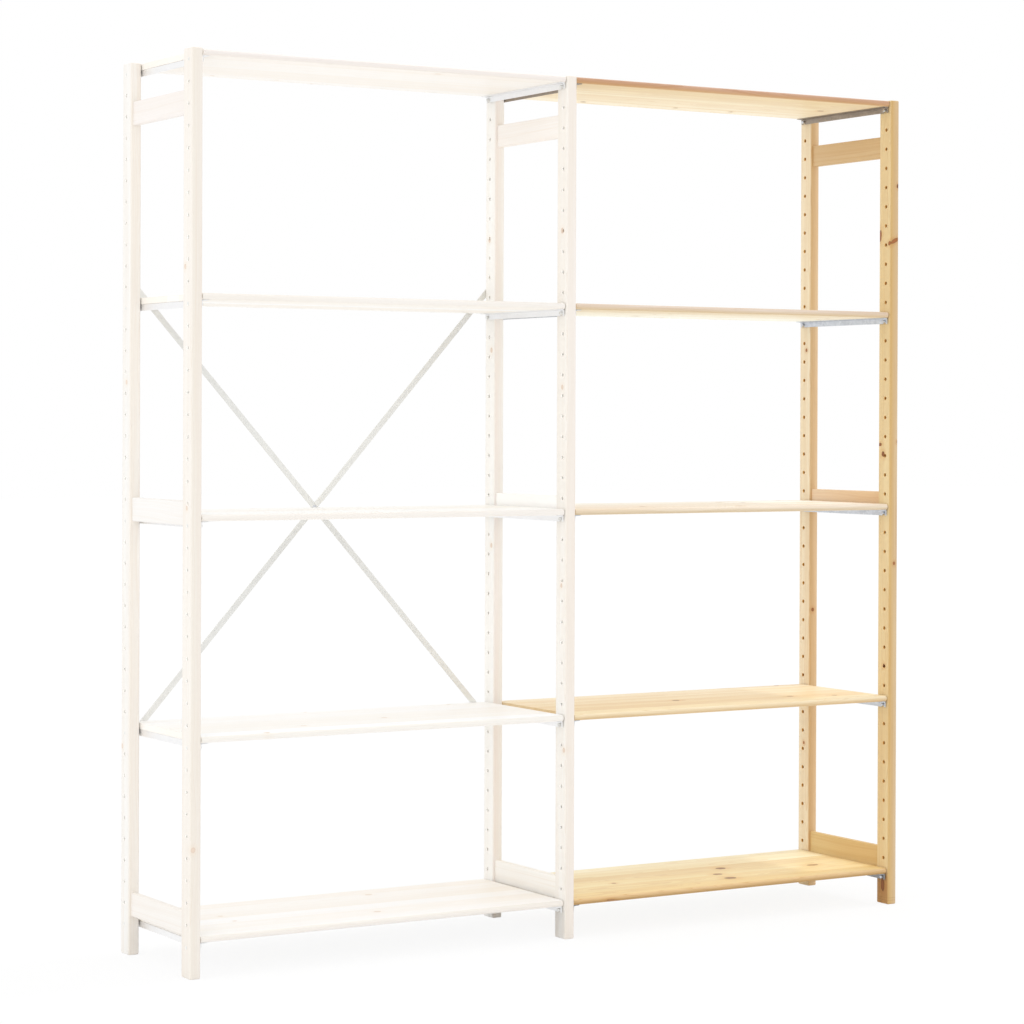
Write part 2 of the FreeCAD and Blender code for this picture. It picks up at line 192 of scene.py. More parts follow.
def hole_sleeves(width, depth, rounding, edges, holes):
    """The sides of a post between its rounded edges, as one sleeve for each hole. Its stations go
    from a rectangle on one side face, through two rims and the bore, to the same rectangle on the
    other, and at every station the points follow the angle, PARTS of them to a quarter turn."""
    hole_y, hole_heights, hole_radius, rim = holes
    turn = np.pi / 4 + np.arange(4 * PARTS) * np.pi / (2 * PARTS)
    part = np.arange(PARTS) / PARTS
    go, stay = np.zeros(PARTS), np.ones(PARTS)
    border_y = np.concatenate([1 - part, go, part, stay])
    border_z = np.concatenate([stay, 1 - part, go, part])
    low, high = edges[:-1, None], edges[1:, None]
    rect_y = np.broadcast_to(rounding + (depth - 2 * rounding) * border_y, (len(low), 4 * PARTS))
    rect_z = low + (high - low) * border_z
    radii = (None, hole_radius + rim, hole_radius, hole_radius, hole_radius + rim, None)
    stations = []
    for radius, side in zip(radii, (-1, -1, -1, 1, 1, 1)):
        sunk = rim if radius == hole_radius else 0
        if radius is None:
            flat_y, flat_z = rect_y, rect_z
        else:
            flat_y = np.broadcast_to(hole_y + radius * np.cos(turn), rect_y.shape)
            flat_z = hole_heights[:, None] + radius * np.sin(turn)
        flat_x = np.full(rect_y.shape, side * (width / 2 - sunk))
        stations.append(np.stack([flat_x, flat_y, flat_z], axis=-1))
    return np.stack(stations, axis=1)


def post_skin(width, depth, height, rounding, end_rounding, foot_lines, holes):
    """A post from the floor up, with its outer face at y zero. Front and back are a rounded
    section carried up the post, drawn in by a quarter circle at both ends and a little at each
    foot line. Between them the sides are flat grids at foot and top and the holes' sleeves."""
    hole_heights = holes[1]
    half = np.diff(hole_heights[:2])[0] / 2
    edges = np.append(hole_heights[0] - half, (hole_heights[:-1] + hole_heights[1:]) / 2)
    edges = np.append(edges, height - end_rounding)
    sine, cosine = quarter(3)
    turned = len(sine)
    steps = edges[:-1, None] + np.diff(edges)[:, None] * np.arange(PARTS) / PARTS
    lines = foot_lines[:, None] + np.array([-LINE_HALF, 0, LINE_HALF])
    bottom = end_rounding * (1 - cosine)
    levels = np.concatenate([bottom, lines.reshape(-1), steps.reshape(-1), edges[-1:]])
    levels = np.concatenate([levels, height - bottom[-2::-1]])
    inset = np.zeros(len(levels))
    inset[:turned] = end_rounding * (1 - sine)
    inset[-turned:] = inset[turned - 1::-1]
    line_depth = 0.15 * MM
    inset[turned:turned + lines.size] = np.tile([0, line_depth, 0], len(lines))

    arc = rounding - inset[:, None]
    far_x = width / 2 - inset[:, None]
    near_y = inset[:, None]
    x = np.concatenate([-far_x + arc * (1 - cosine), far_x - arc * (1 - cosine[::-1])], axis=1)
    y = np.concatenate([near_y + arc * (1 - sine), near_y + arc * (1 - sine[::-1])], axis=1)
    z = np.broadcast_to(levels[:, None], x.shape)
    front = np.stack([x, y, z], axis=-1)
    back = np.stack([x, depth - y, z], axis=-1)

    grids = [(front, False), (back, False)]
    across = np.linspace(0, 1, PARTS + 1)
    y_low = inset[:, None] + arc
    side_y = y_low + (depth - 2 * y_low) * across
    foot_rows = slice(0, turned + 1 + lines.size)
    top_rows = slice(len(levels) - turned, len(levels))
    for rows in (foot_rows, top_rows):
        for way in (-1, 1):
            side_x = np.broadcast_to(way * far_x[rows], side_y[rows].shape)
            side_z = np.broadcast_to(levels[rows, None], side_y[rows].shape)
            grids.append((np.stack([side_x, side_y[rows], side_z], axis=-1), False))
    grids += [(sleeve, True) for sleeve in hole_sleeves(width, depth, rounding, edges, holes)]

    caps = []
    for row in (0, -1):
        side = np.stack([far_x[row] + 0 * across, side_y[row], levels[row] + 0 * across], axis=-1)
        other = side[::-1] * (-1, 1, 1)
        caps.append(np.concatenate([front[row], side[1:-1], back[row][::-1], other[1:-1]]))
    return join_grids(grids, caps)


def face_facts(mesh):
    """Every face corner's point and face number, and every face's centre and normal."""
    corner = np.empty(len(mesh.loops), np.int32)
    mesh.loops.foreach_get("vertex_index", corner)
    point = np.empty(len(mesh.vertices) * 3, np.float32)
    mesh.vertices.foreach_get("co", point)
    total = np.empty(len(mesh.polygons), np.int32)
    mesh.polygons.foreach_get("loop_total", total)
    centre = np.empty(len(mesh.polygons) * 3, np.float32)
    mesh.polygons.foreach_get("center", centre)
    normal = np.empty(len(mesh.polygons) * 3, np.float32)
    mesh.polygons.foreach_get("normal", normal)
    point = point.reshape(-1, 3)[corner]
    face = np.repeat(np.arange(len(total)), total)
    return point, face, centre.reshape(-1, 3), normal.reshape(-1, 3)


def from_knots(point, face, centre, grain, knots):
    """Every face corner's offset from the nearest knot of its face, along the grain and across it,
    seen along the branch and in knot radii, and how dark that knot is."""
    if not knots:
        out_of_reach = 50.0
        return np.full((len(point), 3), out_of_reach)
    knots = np.asarray(knots, float)
    branch = knots[:, 4:7] / np.linalg.norm(knots[:, 4:7], axis=1, keepdims=True)
    fibre = np.zeros(3)
    fibre[grain] = 1
    up = fibre - branch * (branch @ fibre)[:, None]
    up /= np.linalg.norm(up, axis=1, keepdims=True)
    over = np.cross(branch, up)

    def offset(places, which):
        away = places - knots[which, :3] * MM
        radius = knots[which, 3] * MM
        rise = np.einsum("ij,ij->i", away, up[which]) / radius
        side = np.einsum("ij,ij->i", away, over[which]) / radius
        return rise, side

    grain_share = 0.6
    reach = np.full(len(centre), np.inf)
    nearest = np.zeros(len(centre), int)
    for number in range(len(knots)):
        rise, side = offset(centre, np.full(len(centre), number))
        far = np.hypot(rise * grain_share, side) * knots[number, 3]
        nearest = np.where(far < reach, number, nearest)
        reach = np.minimum(reach, far)
    rise, side = offset(point, nearest[face])
    return np.stack([rise, side, knots[nearest[face], 7]], axis=-1)


def mark_wood(piece, grain, log_shift, knots):
    """Stores three attributes. Log place is each face corner's place in its log: the two ways
    across the grain, then the way along it, moved by its board's shift. Knot place is where it
    lies from the nearest knot. End grain is 1 on faces cut across the grain."""
    mesh = piece.data
    point, face, centre, normal = face_facts(mesh)
    order = {0: (1, 2, 0), 1: (0, 2, 1), 2: (0, 1, 2)}[grain]
    shift = np.broadcast_to(log_shift, (len(centre), 3))
    log_place = point[:, order] + shift[face]
    knot_place = from_knots(point, face, centre, grain, knots)
    end_grain = np.abs(normal[:, grain]) > 0.7
    for label, values in (("log_place", log_place), ("knot_place", knot_place)):
        layer = mesh.attributes.new(label, "FLOAT_VECTOR", "CORNER")
        layer.data.foreach_set("vector", values.astype(np.float32).reshape(-1))
    layer = mesh.attributes.new("end_grain", "FLOAT", "FACE")
    layer.data.foreach_set("value", end_grain.astype(np.float32))


def tint_wood(piece, colours):
    """Stores how much redder, greener and bluer than its finish each face corner is painted: the
    wood's own tone, and painted light and shade.
    """
    layer = piece.data.attributes.new("tone_and_painted_light", "FLOAT_VECTOR", "CORNER")
    values = np.broadcast_to(np.asarray(colours, np.float32), (len(piece.data.loops), 3))
    layer.data.foreach_set("vector", values.reshape(-1))


def shift_tint(weight, first, second):
    """Goes from one tint to another by a weight for each face corner."""
    return np.asarray(first) + weight[:, None] * (np.asarray(second) - np.asarray(first))


def vector(tree, operation, *terms):
    """One operation on vectors, as a Vector Math node's outputs, a Vector and a Value."""
    return add(tree, "VectorMath", {"operation": operation}, dict(enumerate(terms))).outputs


def noise(tree, place, stretch, detail=1.0, output=0):
    """Noise on a place stretched by three numbers per metre, about 0.5 in the middle."""
    moved = vector(tree, "MULTIPLY", place, stretch)["Vector"]
    inputs = {"Vector": moved, "Scale": 1.0, "Detail": detail}
    return add(tree, "TexNoise", {}, inputs).outputs[output]


def slope(tree, value, start, end):
    """Rises smoothly from 0 at start to 1 at end."""
    inputs = {"Value": value, "From Min": start, "From Max": end}
    return add(tree, "MapRange", {"interpolation_type": "SMOOTHSTEP"}, inputs).outputs[0]


def tint(tree, factor, first, second):
    """Goes from one colour to another."""
    mixed = add(tree, "Mix", {"data_type": "RGBA"}, {0: factor, 6: first, 7: second})
    return mixed.outputs[2]


def new_group(name, inputs, outputs):
    """An empty node group with named inputs and outputs."""
    group = bpy.data.node_groups.new(name, "ShaderNodeTree")
    for label, kind in inputs:
        group.interface.new_socket(label, in_out="INPUT", socket_type="NodeSocket" + kind)
    for label in outputs:
        group.interface.new_socket(label, in_out="OUTPUT", socket_type="NodeSocketFloat")
    return group, group.nodes.new("NodeGroupInput").outputs, group.nodes.new("NodeGroupOutput")


# How pine grows: rings round a wandering pith, each year dark in its own measure, that bulge
# round knots, and fibres and streaks of resin along the log
growth, given, result = new_group(
    "pine growth",
    (("Log place", "Vector"), ("Knot place", "Vector"), ("Ring width", "Float")),
    ("Latewood", "Fibre", "Tone", "Streak", "Knot", "Knot rings", "Bark", "Halo"),
)
log_place, knot_place = given["Log place"], given["Knot place"]
wander = noise(growth, log_place, (5, 5, 2.4), output=1)
wander = vector(growth, "SUBTRACT", wander, (0.5, 0.5, 0.5))["Vector"]
wander = vector(growth, "MULTIPLY", wander, (0.05, 0.05, 0.05))["Vector"]
bent = vector(growth, "ADD", log_place, wander)["Vector"]
bent = vector(growth, "MULTIPLY", bent, (1, 1, 0))["Vector"]
pith_way = vector(growth, "LENGTH", bent)["Value"]
wobble = reckon(growth, "MULTIPLY_ADD", noise(growth, log_place, (80, 80, 9), 2.0), 0.0014, -0.0007)
pull = vector(growth, "MULTIPLY", knot_place, (0.28, 0.62, 0))["Vector"]
pull = vector(growth, "DOT_PRODUCT", pull, pull)["Value"]
pull = reckon(growth, "EXPONENT", reckon(growth, "MULTIPLY", pull, -1.0))
pith_way = reckon(growth, "ADD", pith_way, wobble)
pith_way = reckon(growth, "MULTIPLY_ADD", pull, 0.006, pith_way)
rings = reckon(growth, "DIVIDE", pith_way, given["Ring width"])
far_out = reckon(growth, "MULTIPLY", pith_way, 70.0)
pace = add(growth, "TexNoise", {"noise_dimensions": "1D"}, {"W": far_out})
rings = reckon(growth, "MULTIPLY_ADD", pace.outputs[0], 2.5, rings)
year = reckon(growth, "FRACT", rings)
late = reckon(growth, "MULTIPLY", slope(growth, year, 0.25, 0.9), slope(growth, year, 1.0, 0.92))
which_year = reckon(growth, "FLOOR", rings)
harvest = add(growth, "TexWhiteNoise", {"noise_dimensions": "1D"}, {"W": which_year})
late = reckon(growth, "MULTIPLY", late, reckon(growth, "MULTIPLY_ADD", harvest.outputs[0], 0.6, 0.4))
from_knot = vector(growth, "MULTIPLY", knot_place, (0.85, 1, 0))["Vector"]
from_knot = vector(growth, "LENGTH", from_knot)["Value"]
ragged = reckon(growth, "MULTIPLY_ADD", noise(growth, knot_place, (1.4, 1.4, 5), 2.0), 0.5, -0.25)
from_knot = reckon(growth, "ADD", from_knot, ragged)
past_heart, before_wood = slope(growth, from_knot, 0.7, 0.9), slope(growth, from_knot, 1.18, 1.0)
bark = reckon(growth, "MULTIPLY", past_heart, before_wood)
for label, value in (
    ("Latewood", late),
    ("Fibre", noise(growth, log_place, (1000, 1000, 11), 2.0)),
    ("Tone", slope(growth, noise(growth, log_place, (26, 26, 1.6)), 0.3, 0.7)),
    ("Streak", slope(growth, noise(growth, log_place, (190, 190, 2.2)), 0.62, 0.78)),
    ("Knot", slope(growth, from_knot, 1.02, 0.86)),
    ("Knot rings", reckon(growth, "FRACT", reckon(growth, "MULTIPLY", from_knot, 4.3))),
    ("Bark", bark),
    ("Halo", slope(growth, from_knot, 3.4, 0.9)),
):
    growth.links.new(value, result.inputs[label])


def make_pine(name, look):
    """Pine with growth rings, fibres, resin streaks and knots under one clear or tinted finish."""
    material = bpy.data.materials.new(name)
    material.use_nodes = True
    tree = material.node_tree
    gloss = tree.nodes["Principled BSDF"]
    log, knot, end, board = (
        add(tree, "Attribute", {"attribute_name": label}, {}).outputs
        for label in ("log_place", "knot_place", "end_grain", "tone_and_painted_light")
    )
    dark = add(tree, "SeparateXYZ", {}, {0: knot["Vector"]}).outputs["Z"]
    wood = tree.nodes.new("ShaderNodeGroup")
    wood.node_tree = growth
    tree.links.new(log["Vector"], wood.inputs["Log place"])
    tree.links.new(knot["Vector"], wood.inputs["Knot place"])
    wood.inputs["Ring width"].default_value = look["ring width"]
    wood = wood.outputs
    colour = tint(tree, wood["Tone"], look["early"], look["early warm"])
    fine = slope(tree, wood["Fibre"], 0.35, 0.75)
    marks = {"late": wood["Latewood"], "fibre": fine, "streak": wood["Streak"], "halo": wood["Halo"]}
    for mark, amount in marks.items():
        share = reckon(tree, "MULTIPLY", amount, look[mark + " share"])
        colour = tint(tree, share, colour, look[mark])
    # The stored tint multiplies in the wood's own tone and the painted light and shade
    colour = vector(tree, "MULTIPLY", colour, board["Vector"])["Vector"]
    heart = tint(tree, dark, look["live knot"], look["dead knot"])
    heart = tint(tree, reckon(tree, "MULTIPLY", wood["Knot rings"], 0.35), heart, look["knot ring"])
    colour = tint(tree, wood["Knot"], colour, heart)
    edge = reckon(tree, "MULTIPLY", wood["Bark"], reckon(tree, "MULTIPLY_ADD", dark, 0.6, 0.25))
    colour = tint(tree, edge, colour, look["bark"])
    colour = tint(tree, reckon(tree, "MULTIPLY", end["Fac"], 0.5), colour, look["end"])
    tree.links.new(colour, gloss.inputs["Base Color"])
    rough = reckon(tree, "MULTIPLY_ADD", wood["Latewood"], -0.08, look["roughness"])
    tree.links.new(rough, gloss.inputs["Roughness"])
    relief = reckon(tree, "MULTIPLY_ADD", wood["Fibre"], 0.6, wood["Latewood"])
    bump = add(tree, "Bump", {}, {"Strength": look["relief"], "Distance": 0.0004, "Height": relief})
    tree.links.new(bump.outputs[0], gloss.inputs["Normal"])
    gloss.inputs["Specular IOR Level"].default_value = 0.35
    return material


def rgb(red, green, blue):
    """A colour from the numbers that a colour card gives, 0 to 255, as the light it sends back."""
    card = np.array([red, green, blue]) / 255
    light = np.where(card <= 0.04045, card / 12.92, ((card + 0.055) / 1.055) ** 2.4)
    return (*light.tolist(), 1.0)


natural_pine = make_pine("natural pine", {
    "ring width": 0.0034,
    "early": rgb(240, 216, 168),
    "early warm": rgb(235, 207, 156),
    "late": rgb(217, 178, 120),
    "late share": 0.5,
    "fibre": rgb(226, 194, 142),
    "fibre share": 0.3,
    "streak": rgb(212, 168, 112),
    "streak share": 0.35,
    "halo": rgb(222, 176, 116),
    "halo share": 0.6,
    "live knot": rgb(190, 120, 66),
    "dead knot": rgb(118, 70, 34),
    "knot ring": rgb(130, 78, 38),
    "bark": rgb(86, 48, 24),
    "end": rgb(212, 170, 114),
    "roughness": 0.52,
    "relief": 0.35,
})
natural_shelf_pine = make_pine("natural pine, shelves", {
    "ring width": 0.0042,
    "early": rgb(246, 233, 208),
    "early warm": rgb(238, 219, 186),
    "late": rgb(222, 192, 146),
    "late share": 0.62,
    "fibre": rgb(231, 208, 168),
    "fibre share": 0.3,
    "streak": rgb(222, 192, 148),
    "streak share": 0.4,
    "halo": rgb(228, 194, 144),
    "halo share": 0.6,
    "live knot": rgb(205, 158, 108),
    "dead knot": rgb(132, 92, 62),
    "knot ring": rgb(150, 106, 72),
    "bark": rgb(98, 64, 42),
    "end": rgb(222, 190, 142),
    "roughness": 0.5,
    "relief": 0.25,
})
pale_pine = make_pine("pale glazed pine", {
    "ring width": 0.0034,
    "early": rgb(245, 239, 231),
    "early warm": rgb(243, 235, 225),
    "late": rgb(237, 225, 211),
    "late share": 0.55,
    "fibre": rgb(240, 230, 218),
    "fibre share": 0.3,
    "streak": rgb(235, 221, 205),
    "streak share": 0.35,
    "halo": rgb(240, 226, 210),
    "halo share": 0.5,
    "live knot": rgb(238, 222, 206),
    "dead knot": rgb(226, 206, 188),
    "knot ring": rgb(228, 208, 190),
    "bark": rgb(222, 200, 182),
    "end": rgb(240, 230, 218),
    "roughness": 0.42,
    "relief": 0.22,
})
pale_shelf_pine = make_pine("pale glazed pine, shelves", {
    "ring width": 0.0036,
    "early": rgb(250, 247, 242),
    "early warm": rgb(249, 245, 238),
    "late": rgb(245, 238, 228),
    "late share": 0.5,
    "fibre": rgb(247, 241, 232),
    "fibre share": 0.25,
    "streak": rgb(243, 234, 222),
    "streak share": 0.3,
    "halo": rgb(245, 236, 224),
    "halo share": 0.45,
    "live knot": rgb(240, 228, 214),
    "dead knot": rgb(230, 214, 198),
    "knot ring": rgb(232, 216, 200),
    "bark": rgb(226, 208, 192),
    "end": rgb(246, 240, 231),
    "roughness": 0.42,
    "relief": 0.18,
})
PINES = {
    "left": (pale_pine, "pale_pine"),
    "middle": (pale_pine, "pale_pine"),
    "right": (natural_pine, "natural_pine"),
}
FIRST_HOLE, HOLE_PITCH, HOLE_SETBACK = 60.0 * MM, 42.7 * MM, 16.5 * MM
LADDER = FIRST_HOLE + HOLE_PITCH * np.arange(41)

# Knots: place in mm, radius, the way the branch ran, and how dark the knot is
POST_KNOTS = {
    "right_front_post": [
        (838.5, -133, 1490, 4.4, 1, 0.3, -2.2, 0.45),
        (850, -169, 1478, 3.6, 1, -0.35, 0.5, 0.3),
        (858.6, -169, 1600, 3.2, 0.15, 1, 0.5, 0.9),
        (838.5, -146, 1003, 4.6, 1, 0.3, 0.35, 0.7),
        (860, -166, 1030, 3.0, 0.7, -1, 0.2, 0.6),
        (838.5, -151.7, 531, 3.4, 1, 0, 0.2, 0.9),
        (838.5, -150.9, 41.4, 5.6, 1, 0, 1.7, 0.6),
        (852, -169, 760, 3.0, 0.1, 1, 0.3, 0.3),
    ],
    "right_rear_post": [
        (838.5, 138, 1240, 3.2, 1, 0.1, 0.2, 0.4),
        (848, 124, 640, 3.4, 0.2, 1, 0.3, 0.5),
        (838.5, 142, 330, 3.0, 1, 0, -0.2, 0.3),
    ],
    "middle_front_post": [
        (-11.5, -150, 1470, 4.5, 1, 0.1, 0.3, 0.9),
        (-11.5, -152, 1145, 4.0, 1, 0, 0.2, 0.8),
        (-11.5, -151, 733, 3.6, 1, 0, -0.2, 0.7),
        (-11.5, -163, 392, 4.0, 1, 0.3, 0.2, 0.6),
    ],
    "middle_rear_post": [
        (-11.5, 146, 1465, 4.2, 1, 0, 0.2, 0.7),
        (-11.5, 136, 1227, 4.4, 1, 0.2, 0.2, 0.6),
        (-11.5, 134, 805, 4.0, 1, 0, 0.2, 0.7),
    ],
    "left_front_post": [
        (-855, -169, 249, 4.2, 0.3, 1, 0.2, 0.6),
        (-861.5, -140, 1370, 4.0, 1, 0, 0.2, 0.5),
        (-861.5, -150, 905, 3.5, 1, 0, 0.3, 0.6),
    ],
    "left_rear_post": [
        (-861.5, 158, 417, 4.2, 1, 0, 0.2, 0.6),
        (-861.5, 140, 1150, 3.8, 1, 0.2, 0.1, 0.5),
    ],
}
# How far each post's wood is moved to its place in a log
LOG_SHIFTS = {
    "left_front_post": (0.871, 0.178, 0.31),
    "left_rear_post": (0.838, -0.110, 3.70),
    "middle_front_post": (0.030, 0.182, 6.10),
    "middle_rear_post": (-0.024, -0.118, 9.40),
    "right_front_post": (-0.880, 0.171, 12.2),
    "right_rear_post": (-0.822, -0.121, 15.1),
}
# How much lighter or darker each post is painted than its finish: its sides, then the left and right of
# its front. These are painted light and shade, the sides lit from the left, with some of the wood's tone;
# after that the painted shadow of the shelf on its foot, its bores' painted shade and light, its foot lines
POST_TONE_AND_LIGHT = {
    "left_front_post": ((0.98, 1.0, 1.02), (0.94, 0.95, 0.94), (0.94, 0.94, 0.95)),
    "left_rear_post": ((0.975, 1.02, 1.07), (0.99, 1.0, 1.0), (1.0, 1.02, 1.05)),
    "middle_front_post": ((1.02, 1.06, 1.1), (0.96, 0.965, 0.97), (0.96, 0.955, 0.97)),
    "middle_rear_post": ((1.05, 1.11, 1.17), (1.01, 1.0, 1.03), (1.06, 1.12, 1.2)),
    "right_front_post": ((0.945, 0.99, 1.04), (0.74, 0.62, 0.39), (0.81, 0.81, 0.95)),
    "right_rear_post": ((1.02, 1.14, 1.51), (0.75, 0.65, 0.56), (0.95, 0.91, 1.03)),
}
# Painted shadow of the bottom shelf on the right posts' feet, together with darker wood there
FOOT_SHADOW_AND_WOOD_TINTS = {"right_front_post": (0.67, 0.48, 0.32), "right_rear_post": (0.85, 0.76, 0.62)}
# Painted shade on the bore walls of natural posts, and painted light on those of pale posts
BORE_SHADE_AND_LIGHT = {"natural_pine": (0.83, 0.63, 0.34), "pale_pine": (1.14, 1.22, 1.3)}
LINE_TINTS = {"natural_pine": (0.72, 0.64, 0.52), "pale_pine": (0.97, 0.96, 0.95)}
FOOT_LINES = np.array([9.0, 14.5]) * MM
# Where the painted shadow on the feet ends, and how far up it fades
SHELF_SHADOW_TOP, SHELF_SHADOW_FADE = 80 * MM, 20 * MM
ROUNDING, END_ROUNDING = 3.2 * MM, 2.6 * MM
HOLE_RADIUS, HOLE_RIM, JUST_INSIDE = 3.5 * MM, 0.7 * MM, 0.2 * MM
low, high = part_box("left_front_post")
width, depth, height = high.x - low.x, high.y - low.y, high.z - low.z
holes = (HOLE_SETBACK, LADDER, HOLE_RADIUS, HOLE_RIM)
points, faces = post_skin(width, depth, height, ROUNDING, END_ROUNDING, FOOT_LINES, holes)
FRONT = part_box("left_front_post")[0].y
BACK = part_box("left_rear_post")[1].y
for side, (pine, pine_slot) in PINES.items():
    for end, facing, start in (("front", 1, FRONT), ("rear", -1, BACK)):
        name = f"{side}_{end}_post"
        low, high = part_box(name)
        middle_x = (low.x + high.x) / 2
        moved = points * (1, facing, 1) + (middle_x, start, 0)
        post = make_piece(name + "_wood", (moved, faces), "frames", pine, [name])
        mark_wood(post, 2, LOG_SHIFTS[name], POST_KNOTS[name])
        point, face, centre, normal = face_facts(post.data)
        # Sides and front are painted apart: painted light from the left and painted shade, with the wood's
        # own tone
        sides, left, right = POST_TONE_AND_LIGHT[name]
        round_corner = np.clip((low.y + ROUNDING - point[:, 1]) / ROUNDING, 0, 1)
        from_left = np.clip((point[:, 0] - low.x) / (high.x - low.x), 0, 1)
        # Painted shadow of the bottom shelf, with darker wood, on the foot below it, fading out upwards;
        # not on the face toward the front
        shelf_shadow_on_foot = np.clip((SHELF_SHADOW_TOP - point[:, 2]) / SHELF_SHADOW_FADE, 0, 1) * (1 - round_corner)
        colours = shift_tint(round_corner, sides, shift_tint(from_left, left, right))
        colours = shift_tint(shelf_shadow_on_foot, colours, colours * FOOT_SHADOW_AND_WOOD_TINTS.get(name, (1, 1, 1)))
        from_line = np.abs(point[:, 2, None] - FOOT_LINES).min(axis=1)
        on_line = np.clip(1 - from_line / LINE_HALF, 0, 1)
        colours = shift_tint(on_line, colours, colours * LINE_TINTS[pine_slot])
        # Bore walls take painted shade in natural posts and painted light in pale ones
        deep = np.abs(centre[:, 0] - middle_x) < (high.x - low.x) / 2 - JUST_INSIDE
        beside = np.abs(centre[:, 1] - start - facing * HOLE_SETBACK) < 1.5 * HOLE_RADIUS
        bored = (deep & beside & (np.abs(normal[:, 0]) < 0.9))[face]
        colours = np.where(bored[:, None], BORE_SHADE_AND_LIGHT[pine_slot], colours)
        tint_wood(post, colours)


# Rails
# Three rails of thinner pine cross each frame, edges rounded, glued between the two posts. Their
# grain runs from front to back.
def rail_skin(width, height, rounding, start, end, centre_x, centre_z):
    """A rounded rectangle, drawn as four quarter circles joined by straight sides, carried
    straight from start to end along y."""
    sine, cosine = quarter(3)
    x = np.concatenate([width / 2 - rounding * (1 - sine), width / 2 - rounding * (1 - cosine)])
    z = np.concatenate([height / 2 - rounding * (1 - cosine), -height / 2 + rounding * (1 - sine)])
    x = np.concatenate([x, -x[::-1]])
    z = np.concatenate([z, z[::-1]])
    places = np.array([start, end])
    shape = (len(places), len(x))
    skin = np.stack([
        np.broadcast_to(x + centre_x, shape),
        np.broadcast_to(places[:, None], shape),
        np.broadcast_to(z + centre_z, shape),
    ], axis=-1)
    return join_grids([(skin, True)], [skin[0], skin[-1]])


# How much lighter or darker each rail is painted than its finish, all along or from its front end to
# its rear end: painted light and shade, with some of the wood's own tone
RAIL_TONE_AND_LIGHT = {
    "left_top_rail": [(0.98, 1.0, 1.05)],
    "left_middle_rail": [(0.985, 1.03, 1.09)],
    "left_bottom_rail": [(1.0, 1.03, 1.07)],
    "middle_top_rail": [(1.06, 1.09, 1.14)],
    "middle_middle_rail": [(1.17, 1.25, 1.35)],
    "middle_bottom_rail": [(1.08, 1.13, 1.18)],
    "right_top_rail": [(0.79, 0.73, 0.7), (0.81, 0.76, 0.78)],
    "right_middle_rail": [(0.91, 0.82, 0.85), (1.02, 1.05, 1.38)],
    "right_bottom_rail": [(0.87, 0.82, 0.7), (0.94, 0.94, 0.85)],
}
RAIL_ROUNDING, INTO_POST = 2.2 * MM, 0.2 * MM
luck = np.random.RandomState(7)
for side, (pine, pine_slot) in PINES.items():
    post_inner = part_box(f"{side}_front_post")[1].y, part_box(f"{side}_rear_post")[0].y
    for level in ("top", "middle", "bottom"):
        name = f"{side}_{level}_rail"
        low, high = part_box(name)
        middle = (low + high) / 2
        skin = rail_skin(
            high.x - low.x, high.z - low.z, RAIL_ROUNDING,
            post_inner[0] - INTO_POST, post_inner[1] + INTO_POST, middle.x, middle.z,
        )
        rail = make_piece(name + "_wood", skin, "frames", pine, [name])
        pith_x, pith_z = luck.uniform(0.02, 0.04), luck.uniform(0.07, 0.11)
        mark_wood(rail, 1, (pith_x - middle.x, pith_z - middle.z, luck.uniform(20, 60)), [])
        backwards = (face_facts(rail.data)[0][:, 1] - low.y) / (high.y - low.y)
        # Each rail's painted light and shade, with its tone, all along or from front to rear
        tints = RAIL_TONE_AND_LIGHT[name]
        tint_wood(rail, shift_tint(np.clip(backwards, 0, 1), tints[0], tints[-1]))


# Shelves
# Each shelf is a panel of edge-glued staves of pine with rounded front and back edges. It rests on
# the steel strips under its ends, and the grain runs from end to end.
STAVES = (0, 0.155, 0.34, 0.505, 0.67, 0.845, 1)
STATIONS = 61


def panel_skin(low, high, rounding):
    """A board whose section is the same at every length: the top line runs back through a
    quarter circle, the glue lines and another quarter circle, the bottom line mirrors it, and
    both are carried along x. The ends are drawn in a little."""
    sine, cosine = quarter(5)
    depth = high.y - low.y
    inner = low.y + depth * np.array(STAVES[1:-1])
    along, down = rounding * (1 - cosine), rounding * (1 - sine)
    y = np.concatenate([low.y + along, inner, high.y - along[::-1]])
    drop = np.concatenate([down, 0 * inner, down[::-1]])
    ease = 0.6 * MM
    stations = np.linspace(low.x + ease, high.x - ease, STATIONS)
    x = np.concatenate([[low.x], stations, [high.x]])
    pulled = np.zeros(len(x))
    pulled[[0, -1]] = ease
    shape = (len(x), len(y))
    x = np.broadcast_to(x[:, None], shape)
    middle = (low.y + high.y) / 2
    y = middle + (y - middle) * (1 - pulled[:, None] / depth * 2)
    top = np.stack([x, y, high.z - drop - pulled[:, None]], axis=-1)
    bottom = np.stack([x, y, low.z + drop + pulled[:, None]], axis=-1)
    front = np.stack([top[:, 0], bottom[:, 0]], axis=1)
    back = np.stack([top[:, -1], bottom[:, -1]], axis=1)
    ends = [np.stack([top[row], bottom[row]]) for row in (0, -1)]
    return join_grids([(part, False) for part in (top, bottom, front, back, *ends)])


